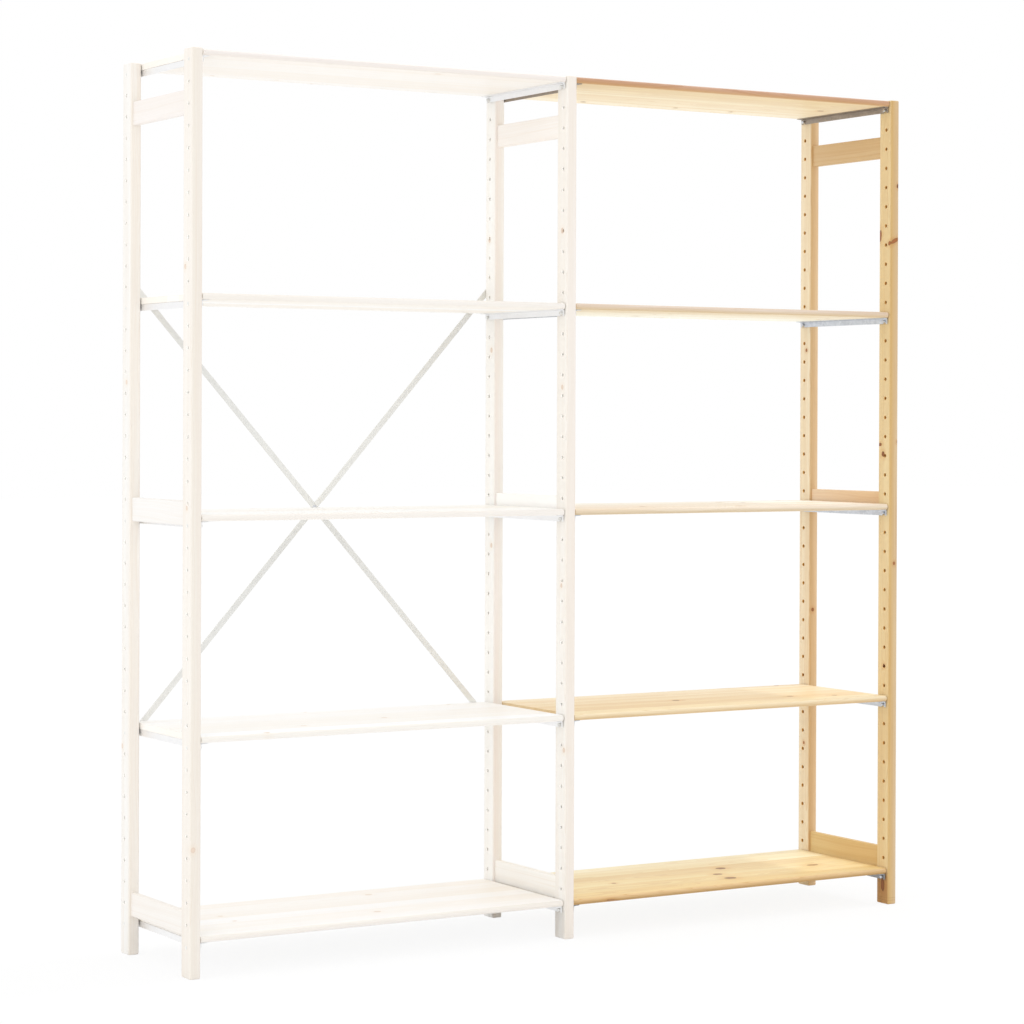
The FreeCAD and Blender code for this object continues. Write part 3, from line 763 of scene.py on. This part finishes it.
# Knots as for the posts; a shelf that isn't listed gets a few small ones at random
SHELF_KNOTS = {
    "right_bottom_shelf": [
        (514, 16, 81, 9.0, 0.2, 0.1, 1, 0.6),
        (461, -48, 81, 8.5, 0.3, 0, 1, 0.25),
        (456, -103, 81, 10.5, 0.4, 0.2, 1, 0.4),
        (722, -47, 81, 8.0, 1.2, 0, 1, 0.1),
        (197, -36, 81, 4.5, 0.1, 0.1, 1, 0.0),
        (106, -166, 70.5, 3.0, 3, 1, -0.5, 0.3),
    ],
    "right_lower_shelf": [
        (364, -25, 465, 6.5, 0.3, 0, 1, 0.45),
        (765, 150, 465, 5.0, 0.2, 0, 1, 0.2),
        (640, -70, 465, 6.0, 0.4, 0.1, 1, 0.25),
        (740, -100, 465, 5.0, 0.2, 0.1, 1, 0.3),
    ],
    "right_top_shelf": [
        (214, 125, 1776, 5.0, 0.2, 0, 1, 0.6),
        (453, 115, 1776, 4.5, 0.2, 0, 1, 0.5),
        (605, 116, 1776, 4.5, 0.3, 0, 1, 0.5),
        (763, -11, 1776, 6.0, 0.3, 0.1, 1, 0.4),
    ],
}
BAYS = {"left": (pale_shelf_pine, "pale_pine"), "right": (natural_shelf_pine, "natural_pine")}
LEVELS = ("top", "upper", "middle", "lower", "bottom")
NOSE = 6 * MM
# How much lighter or darker a shelf is painted than its finish on its flat faces, all over or from
# front to back: painted light and shade, with the wood's own tone
PALE_FLAT_TONE_AND_LIGHT = [(1.04, 1.065, 1.1)]
FLAT_TONE_AND_LIGHT = {
    "left_top_shelf": [(1.02, 1.02, 1.03)],
    "left_lower_shelf": [(1.05, 1.08, 1.13)],
    "left_bottom_shelf": [(1.05, 1.07, 1.11)],
    "right_top_shelf": [(1.0, 0.95, 0.8), (1.15, 1.22, 1.32)],
    "right_upper_shelf": [(1.03, 1.07, 1.08), (1.16, 1.35, 1.62)],
    "right_middle_shelf": [(1.11, 1.18, 1.4), (1.14, 1.29, 1.66)],
    "right_lower_shelf": [(1.07, 1.01, 0.84), (1.09, 1.09, 1.06)],
    "right_bottom_shelf": [(1.05, 0.95, 0.64), (1.08, 1.13, 1.08)],
}
# Painted shade and light on its rounded front edge, from the low side to the high side
PALE_NOSE_SHADE = ((0.93, 0.92, 0.92), (0.91, 0.9, 0.9))
NOSE_SHADE_AND_LIGHT = {
    "left_top_shelf": ((0.9, 0.87, 0.87), (0.88, 0.85, 0.86)),
    "left_lower_shelf": ((0.96, 0.97, 0.99), (0.9, 0.9, 0.89)),
    "left_bottom_shelf": ((0.97, 0.96, 0.97), (0.89, 0.88, 0.87)),
    "right_top_shelf": ((0.7, 0.49, 0.33), (0.6, 0.41, 0.4)),
    "right_upper_shelf": ((0.76, 0.68, 0.54), (0.88, 0.89, 1.12)),
    "right_middle_shelf": ((0.71, 0.67, 0.59), (1.01, 1.02, 1.14)),
    "right_lower_shelf": ((0.75, 0.62, 0.44), (1.07, 1.12, 1.15)),
    "right_bottom_shelf": ((0.5, 0.34, 0.145), (0.94, 0.8, 0.62)),
}
# How much lighter or darker single staves are, from the front one to the back one; a darker stave
# is also warmer
STAVE_TONES = {
    "right_lower_shelf": (0.07, -0.03, -0.07, 0, 0, -0.05),
    "right_bottom_shelf": (0.07, 0, 0.02, -0.06, 0.05, 0.05),
}
DARKER_IS_WARMER = (0.5, 1, 1.7)
count = len(STAVES) - 1
for bay, (pine, pine_slot) in BAYS.items():
    for level in LEVELS:
        name = f"{bay}_{level}_shelf"
        low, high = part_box(name)
        skin = panel_skin(low, high, NOSE)
        panel = make_piece(name + "_wood", skin, f"{bay}_{level}", pine, [name])
        point, face, centre, _ = face_facts(panel.data)
        share = (centre[:, 1] - low.y) / (high.y - low.y)
        stave = np.clip(np.searchsorted(STAVES, share, side="right") - 1, 0, count - 1)
        middle_y = low.y + (high.y - low.y) * (np.array(STAVES[:-1]) + np.array(STAVES[1:])) / 2
        heart = luck.uniform(0.025, 0.075, count) * luck.choice([-1, 1], count)
        shift = np.stack([
            luck.uniform(-0.02, 0.02, count) - middle_y,
            heart - (low.z + high.z) / 2,
            luck.uniform(80, 400, count),
        ], axis=-1)
        knots = list(SHELF_KNOTS.get(name, []))
        for _ in range(0 if knots else 5):
            board = luck.randint(0, count)
            place_x = low.x / MM + luck.uniform(60, 765)
            place_y = middle_y[board] / MM + luck.uniform(-18, 18)
            radius = luck.uniform(3, 6.5)
            lean_x, lean_y, dark = luck.uniform(-0.4, 0.4), luck.uniform(-0.2, 0.2), luck.uniform(0, 0.6)
            knots.append((place_x, place_y, low.z / MM, radius, lean_x, lean_y, 1, dark))
        mark_wood(panel, 0, shift[stave], knots)
        # Each stave's painted light and shade, with its own tone
        tints = FLAT_TONE_AND_LIGHT.get(name, PALE_FLAT_TONE_AND_LIGHT)
        stave_tone_and_light = shift_tint(np.arange(count) / (count - 1), tints[0], tints[-1])
        tones = luck.uniform(-0.07, 0.035, count) + STAVE_TONES.get(name, 0)
        stave_tone_and_light = stave_tone_and_light * (1 + tones[:, None] * DARKER_IS_WARMER)
        # The rounded front edge gets painted shade and light from its low side to its high side
        round_nose = np.clip((low.y + NOSE - point[:, 1]) / (0.7 * NOSE), 0, 1)
        upwards = np.clip((point[:, 2] - low.z) / (high.z - low.z), 0, 1)
        nose_shade_and_light = shift_tint(upwards, *NOSE_SHADE_AND_LIGHT.get(name, PALE_NOSE_SHADE))
        tint_wood(panel, shift_tint(round_nose, stave_tone_and_light[stave[face]], nose_shade_and_light))


# Strips
# Two strips of galvanised sheet, folded to an angle, lie under the ends of each shelf. Slots in
# the upright leg hook over the pins, and three small screws hold the other leg to the panel.
STRIP_DROP, SEAT, GAUGE, FLANGE = 5 * MM, 8 * MM, 1.2 * MM, 15 * MM
SLOT_HALF, SLOT_MOUTH, STRIP_BEND = 3.7 * MM, 1.4 * MM, 2.2 * MM


def slot_path(centre, half, mouth, low):
    """The lower edge of a strip round one slot, as how far along and how high: up the flared
    mouth, up one side, over in a half circle and down again; and where each point's line ends
    at the fold, spread evenly."""
    turn = np.linspace(np.pi, 0, 13)
    along_y = np.concatenate([[-half - mouth, -half], half * np.cos(turn), [half, half + mouth]])
    height = np.concatenate([[low, low + mouth], half * np.sin(turn), [low + mouth, low]])
    spread = np.linspace(-half - mouth, half + mouth, len(along_y))
    return along_y + centre, height, spread + centre


def strip_skin(end_x, way, pin_z, start, end, pins_y):
    """A folded angle. For every point along its lower edge there is one loop: up the outer face,
    round the outer bend, along the flange and back round the inner bend to the lower edge."""
    low = -STRIP_DROP
    slots = [slot_path(place, SLOT_HALF, SLOT_MOUTH, low) for place in pins_y]
    run = np.linspace(slots[0][0][-1], slots[1][0][0], 8)[1:-1]
    plain = np.full(len(run), low)
    edge_y = np.concatenate([[start], slots[0][0], run, slots[1][0], [end]])
    edge_z = np.concatenate([[low], slots[0][1], plain, slots[1][1], [low]])
    fold_y = np.concatenate([[start], slots[0][2], run, slots[1][2], [end]])
    sine, cosine = quarter(4)
    inner, centre_z = STRIP_BEND - GAUGE, SEAT - STRIP_BEND
    outside_x, outside_z = STRIP_BEND * (1 - cosine), centre_z + STRIP_BEND * sine
    inside_x, inside_z = STRIP_BEND - inner * sine[::-1], centre_z + inner * cosine[::-1]
    depth = np.concatenate([[0], outside_x, [FLANGE, FLANGE], inside_x, [GAUGE]])
    rise = np.concatenate([[0], outside_z, [SEAT, SEAT - GAUGE], inside_z, [0]])
    shape = (len(edge_y), len(depth))
    x = np.broadcast_to(end_x - way * depth, shape)
    y = np.broadcast_to(fold_y[:, None], shape).copy()
    z = np.broadcast_to(rise, shape).copy()
    y[:, [0, -1]] = edge_y[:, None]
    z[:, [0, -1]] = edge_z[:, None]
    return np.stack([x, y, z + pin_z], axis=-1)


# A zinc coat: crystals that each have their own brightness, and soft clouds over them
galvanising, given, result = new_group(
    "galvanised spangle", (("Place", "Vector"), ("Spangle size", "Float")), ("Spangle", "Dull")
)
size = reckon(galvanising, "DIVIDE", 1.0, given["Spangle size"])
cells = add(galvanising, "TexVoronoi", {}, {"Vector": given["Place"], "Scale": size})
patch = add(galvanising, "SeparateColor", {}, {0: cells.outputs["Color"]}).outputs[0]
cloud = noise(galvanising, given["Place"], (90, 30, 90), 3.0)
galvanising.links.new(patch, result.inputs["Spangle"])
galvanising.links.new(cloud, result.inputs["Dull"])


def make_steel(name, light, shade, rough, spangle_size=0.006):
    """Steel with a zinc coat: patches that turn the light each in its own way, and dull clouds."""
    material = bpy.data.materials.new(name)
    material.use_nodes = True
    tree = material.node_tree
    gloss = tree.nodes["Principled BSDF"]
    place = add(tree, "TexCoord", {}, {}).outputs["Object"]
    coat = tree.nodes.new("ShaderNodeGroup")
    coat.node_tree = galvanising
    tree.links.new(place, coat.inputs["Place"])
    coat.inputs["Spangle size"].default_value = spangle_size
    spangle, dull = coat.outputs["Spangle"], coat.outputs["Dull"]
    share = reckon(tree, "MULTIPLY_ADD", spangle, 0.5, reckon(tree, "MULTIPLY", dull, 0.5))
    tree.links.new(tint(tree, share, light, shade), gloss.inputs["Base Color"])
    rougher = reckon(tree, "MULTIPLY_ADD", dull, 0.25, rough - 0.1)
    tree.links.new(rougher, gloss.inputs["Roughness"])
    relief = add(tree, "Bump", {}, {"Strength": 0.05, "Distance": 0.0002, "Height": spangle})
    tree.links.new(relief.outputs[0], gloss.inputs["Normal"])
    gloss.inputs["Metallic"].default_value = 1.0
    return material


galvanised = make_steel("galvanised steel", rgb(228, 232, 238), rgb(200, 205, 213), 0.42)
# Galvanised steel darkened and warmed: painted shade and a painted reflection of the wood
shaded_warm_galvanised = make_steel("galvanised steel, painted shade and wood reflection", rgb(186, 174, 162), rgb(164, 153, 142), 0.5)
# Galvanised steel darkened to a grey: painted shade
shaded_galvanised = make_steel("galvanised steel, painted deep shade", rgb(180, 181, 184), rgb(150, 151, 155), 0.5)
bright_zinc = make_steel("bright zinc", rgb(254, 254, 254), rgb(248, 248, 249), 0.4)
grey_zinc = make_steel("grey zinc", rgb(242, 242, 239), rgb(231, 231, 228), 0.42)


def screw_head_skin(radius, rise, steps, turns, recess_reach=0.0, recess_depth=0.0):
    """Heights over a disc on rings and angles: a low dome that falls off steeply at the rim, with
    a cross sunk in it where the smaller of the two offsets from its centre lines is small."""
    ring = np.linspace(0, 1, steps + 1)[1:, None] ** 0.8
    turn = np.arange(turns) * 2 * np.pi / turns
    across, up = ring * np.cos(turn), ring * np.sin(turn)
    height = rise * np.sqrt(np.clip(1 - ring ** 3.2, 0, 1)) + 0 * turn
    if recess_depth:
        near = np.minimum(np.abs(across), np.abs(up)) * radius
        arm_half, arm_slope, end_slope = 0.75 * MM, 0.35 * MM, 0.5 * MM
        arm = np.clip((arm_half - near) / arm_slope, 0, 1)
        length = np.clip((recess_reach - ring * radius) / end_slope, 0, 1)
        height = height - recess_depth * arm * length
    return across * radius, up * radius, height


def make_steel_piece(name, skins, body, steel, stands_for=()):
    """A piece of one or more closed skins. Each is a grid of rings whose first and last ring are
    filled in."""
    caps = [skin[row] for skin in skins for row in (0, -1)]
    shape = join_grids([(skin, True) for skin in skins], caps)
    make_piece(name, shape, body, steel, stands_for)


PINS_Y = (FRONT + HOLE_SETBACK, BACK - HOLE_SETBACK)
# The right bay's top and bottom strips get copies of the steel with painted shade
STRIP_STEELS = {"right_top_strips": shaded_warm_galvanised, "right_bottom_strips": shaded_galvanised}
SCREW_INSET, SCREW_SHARES = 9.2 * MM, np.array([0.12, 0.5, 0.88])
SMALL_HEAD, SMALL_RISE = 3.3 * MM, 1.3 * MM
across, up, rise = screw_head_skin(SMALL_HEAD, SMALL_RISE, 4, 12)
for bay in BAYS:
    for level in LEVELS:
        name, body = f"{bay}_{level}_strips", f"{bay}_{level}"
        low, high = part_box(name)
        steel = STRIP_STEELS.get(name, bright_zinc if bay == "left" else galvanised)
        strips = [
            strip_skin(end_x, way, low.z + STRIP_DROP, low.y, high.y, PINS_Y)
            for end_x, way in ((low.x, -1), (high.x, 1))
        ]
        make_steel_piece(name + "_steel", strips, body, steel, [name])
        screws = [
            np.stack([screw_x + across, screw_y + up, high.z - GAUGE - rise], axis=-1)
            for screw_x in (low.x + SCREW_INSET, high.x - SCREW_INSET)
            for screw_y in SCREW_SHARES * (high.y - low.y) + low.y
        ]
        make_steel_piece(name + "_screws", screws, body, steel)


# Pins
# Turned steel pins pass through the posts at each shelf level, and stand 8 mm out of every face
# that a shelf hangs beside. Their ends are slightly domed.
def pin_skin(start, end, centre_y, centre_z, radius):
    """A turned bar along x: for every station its own radius, and at each the points go once
    round. The ends fall away in a quarter circle and then a low dome."""
    sine, cosine = quarter(3)
    ease, dome, dome_share = 0.7 * MM, 0.15 * MM, 0.35
    station = np.concatenate([[0], dome + ease * (1 - cosine)])
    girth = np.concatenate([[radius * dome_share], radius - ease * (1 - sine)])
    along_x = np.concatenate([start + station, end - station[::-1]])
    reach = np.concatenate([girth, girth[::-1]])
    turn = np.arange(24) * np.pi / 12
    shape = (len(along_x), len(turn))
    return np.stack([
        np.broadcast_to(along_x[:, None], shape),
        centre_y + reach[:, None] * np.cos(turn),
        centre_z + reach[:, None] * np.sin(turn),
    ], axis=-1)


PIN_RADIUS = 3.4 * MM
pin_steel = make_steel("turned steel", rgb(226, 228, 232), rgb(206, 208, 212), 0.3, 0.02)
for side in PINES:
    name = f"{side}_frame_pins"
    low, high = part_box(name)
    pins = []
    for level in LEVELS:
        pin_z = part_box(f"left_{level}_strips")[0].z + STRIP_DROP
        pins += [pin_skin(low.x, high.x, pin_y, pin_z, PIN_RADIUS) for pin_y in PINS_Y]
    steel = pin_steel if side == "right" else grey_zinc
    make_steel_piece(name + "_steel", pins, "frames", steel, [name])


# Brace
# Two flat galvanised bars cross on the back of the left bay. Each is screwed to the back of two
# posts, and the outer one is cranked to pass over the other, where a rivet joins them.
def bar_skin(start, end, half_width, thick, corner, back, crank):
    """A flat bar from start to end, both an x and a z. Along it the half width falls in a quarter
    circle at the ends, and a smooth step lifts the cranked bar off the posts; at each station
    the section is a rectangle with broken edges."""
    line = np.array(end) - np.array(start)
    length = np.hypot(*line)
    way = line / length
    sine, cosine = quarter(5)
    turned = len(sine)
    tip = corner * (1 - cosine) - half_width
    flat, foot = 13 * MM, 25 * MM
    step = np.linspace(flat, foot, 9)
    middle = np.concatenate([-step[::-1], step])
    station = np.concatenate([tip, length / 2 + middle, length - tip[::-1]])
    wide = np.full(len(station), half_width)
    wide[:turned] = half_width - corner * (1 - sine)
    wide[-turned:] = wide[turned - 1::-1]
    near = np.clip((foot - np.abs(station - length / 2)) / (foot - flat), 0, 1)
    lift = thick * near * near * (3 - 2 * near) if crank else 0 * near
    edge = 0.35 * MM
    section_w = np.repeat([-1.0, 1.0], 4)
    section_in = np.array([edge, 0, 0, edge, edge, 0, 0, edge])
    section_y = np.array([0, edge, thick - edge, thick, thick, thick - edge, edge, 0])
    offset = section_w * (wide[:, None] - section_in)
    x = start[0] + way[0] * station[:, None] - way[1] * offset
    z = start[1] + way[1] * station[:, None] + way[0] * offset
    y = back + section_y + lift[:, None]
    return np.stack([x, y, z], axis=-1)


HEAD_RADIUS, HEAD_RISE = 5 * MM, 2.6 * MM
BAR_HALF, BAR_THICK, BAR_CORNER = 6.25 * MM, 2 * MM, 3.5 * MM
low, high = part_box("brace_screws")
SCREW_X = (low.x + HEAD_RADIUS, high.x - HEAD_RADIUS)
SCREW_Z = (low.z + HEAD_RADIUS, high.z - HEAD_RADIUS)
for name, start, end, crank in (
    ("brace_bar_inner", (SCREW_X[0], SCREW_Z[1]), (SCREW_X[1], SCREW_Z[0]), False),
    ("brace_bar_outer", (SCREW_X[0], SCREW_Z[0]), (SCREW_X[1], SCREW_Z[1]), True),
):
    bar = bar_skin(start, end, BAR_HALF, BAR_THICK, BAR_CORNER, BACK, crank)
    make_steel_piece(name + "_steel", [bar], "frames", grey_zinc, [name])


# Brace screws and rivet
# Four pan-head screws with a cross recess hold the bars' ends. One steel rivet, domed behind and
# set flat in front, joins the bars where they cross.
def fastener_skin(centre_x, centre_z, base_y, head, shank_radius, shank_to):
    """A head's disc of heights, standing on its own plane, then the rings of a shank below it
    that ends in a short taper to half its radius."""
    across, up, rise = head
    rings = [np.stack([centre_x + across, base_y + rise, centre_z + up], axis=-1)]
    taper = 1 * MM
    for part, level in ((1, base_y), (1, shank_to), (0.5, shank_to - taper)):
        scale = shank_radius * part / np.hypot(across[-1], up[-1])
        ring_x, ring_z = centre_x + across[-1] * scale, centre_z + up[-1] * scale
        rings.append(np.stack([ring_x, 0 * scale + level, ring_z], axis=-1)[None])
    return np.concatenate(rings)


RECESS_REACH, RECESS_DEPTH = 2.9 * MM, 1.5 * MM
SHANK_RADIUS, SHANK_LENGTH = 2.25 * MM, 18 * MM
head = screw_head_skin(HEAD_RADIUS, HEAD_RISE, 14, 48, RECESS_REACH, RECESS_DEPTH)
screws = [
    fastener_skin(screw_x, screw_z, BACK + BAR_THICK, head, SHANK_RADIUS, BACK - SHANK_LENGTH)
    for screw_x in SCREW_X for screw_z in SCREW_Z
]
make_steel_piece("brace_screws_steel", screws, "frames", pin_steel, ["brace_screws"])

RIVET_RADIUS, DOME_RISE, SET_RISE = 5.25 * MM, 2.4 * MM, 1.2 * MM
RIVET_SHANK, RIVET_INSIDE = 2.5 * MM, 1 * MM
low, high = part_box("brace_rivet")
centre = (low + high) / 2
dome = screw_head_skin(RIVET_RADIUS, DOME_RISE, 8, 32)
rivet = fastener_skin(
    centre.x, centre.z, BACK + 2 * BAR_THICK, dome, RIVET_SHANK, BACK + RIVET_INSIDE)
across, up, rise = screw_head_skin(RIVET_RADIUS, SET_RISE, 5, 32)
front_head = np.stack([centre.x + across, BACK - rise, centre.z + up], axis=-1)
make_steel_piece("brace_rivet_steel", [rivet, front_head], "frames", pin_steel, ["brace_rivet"])
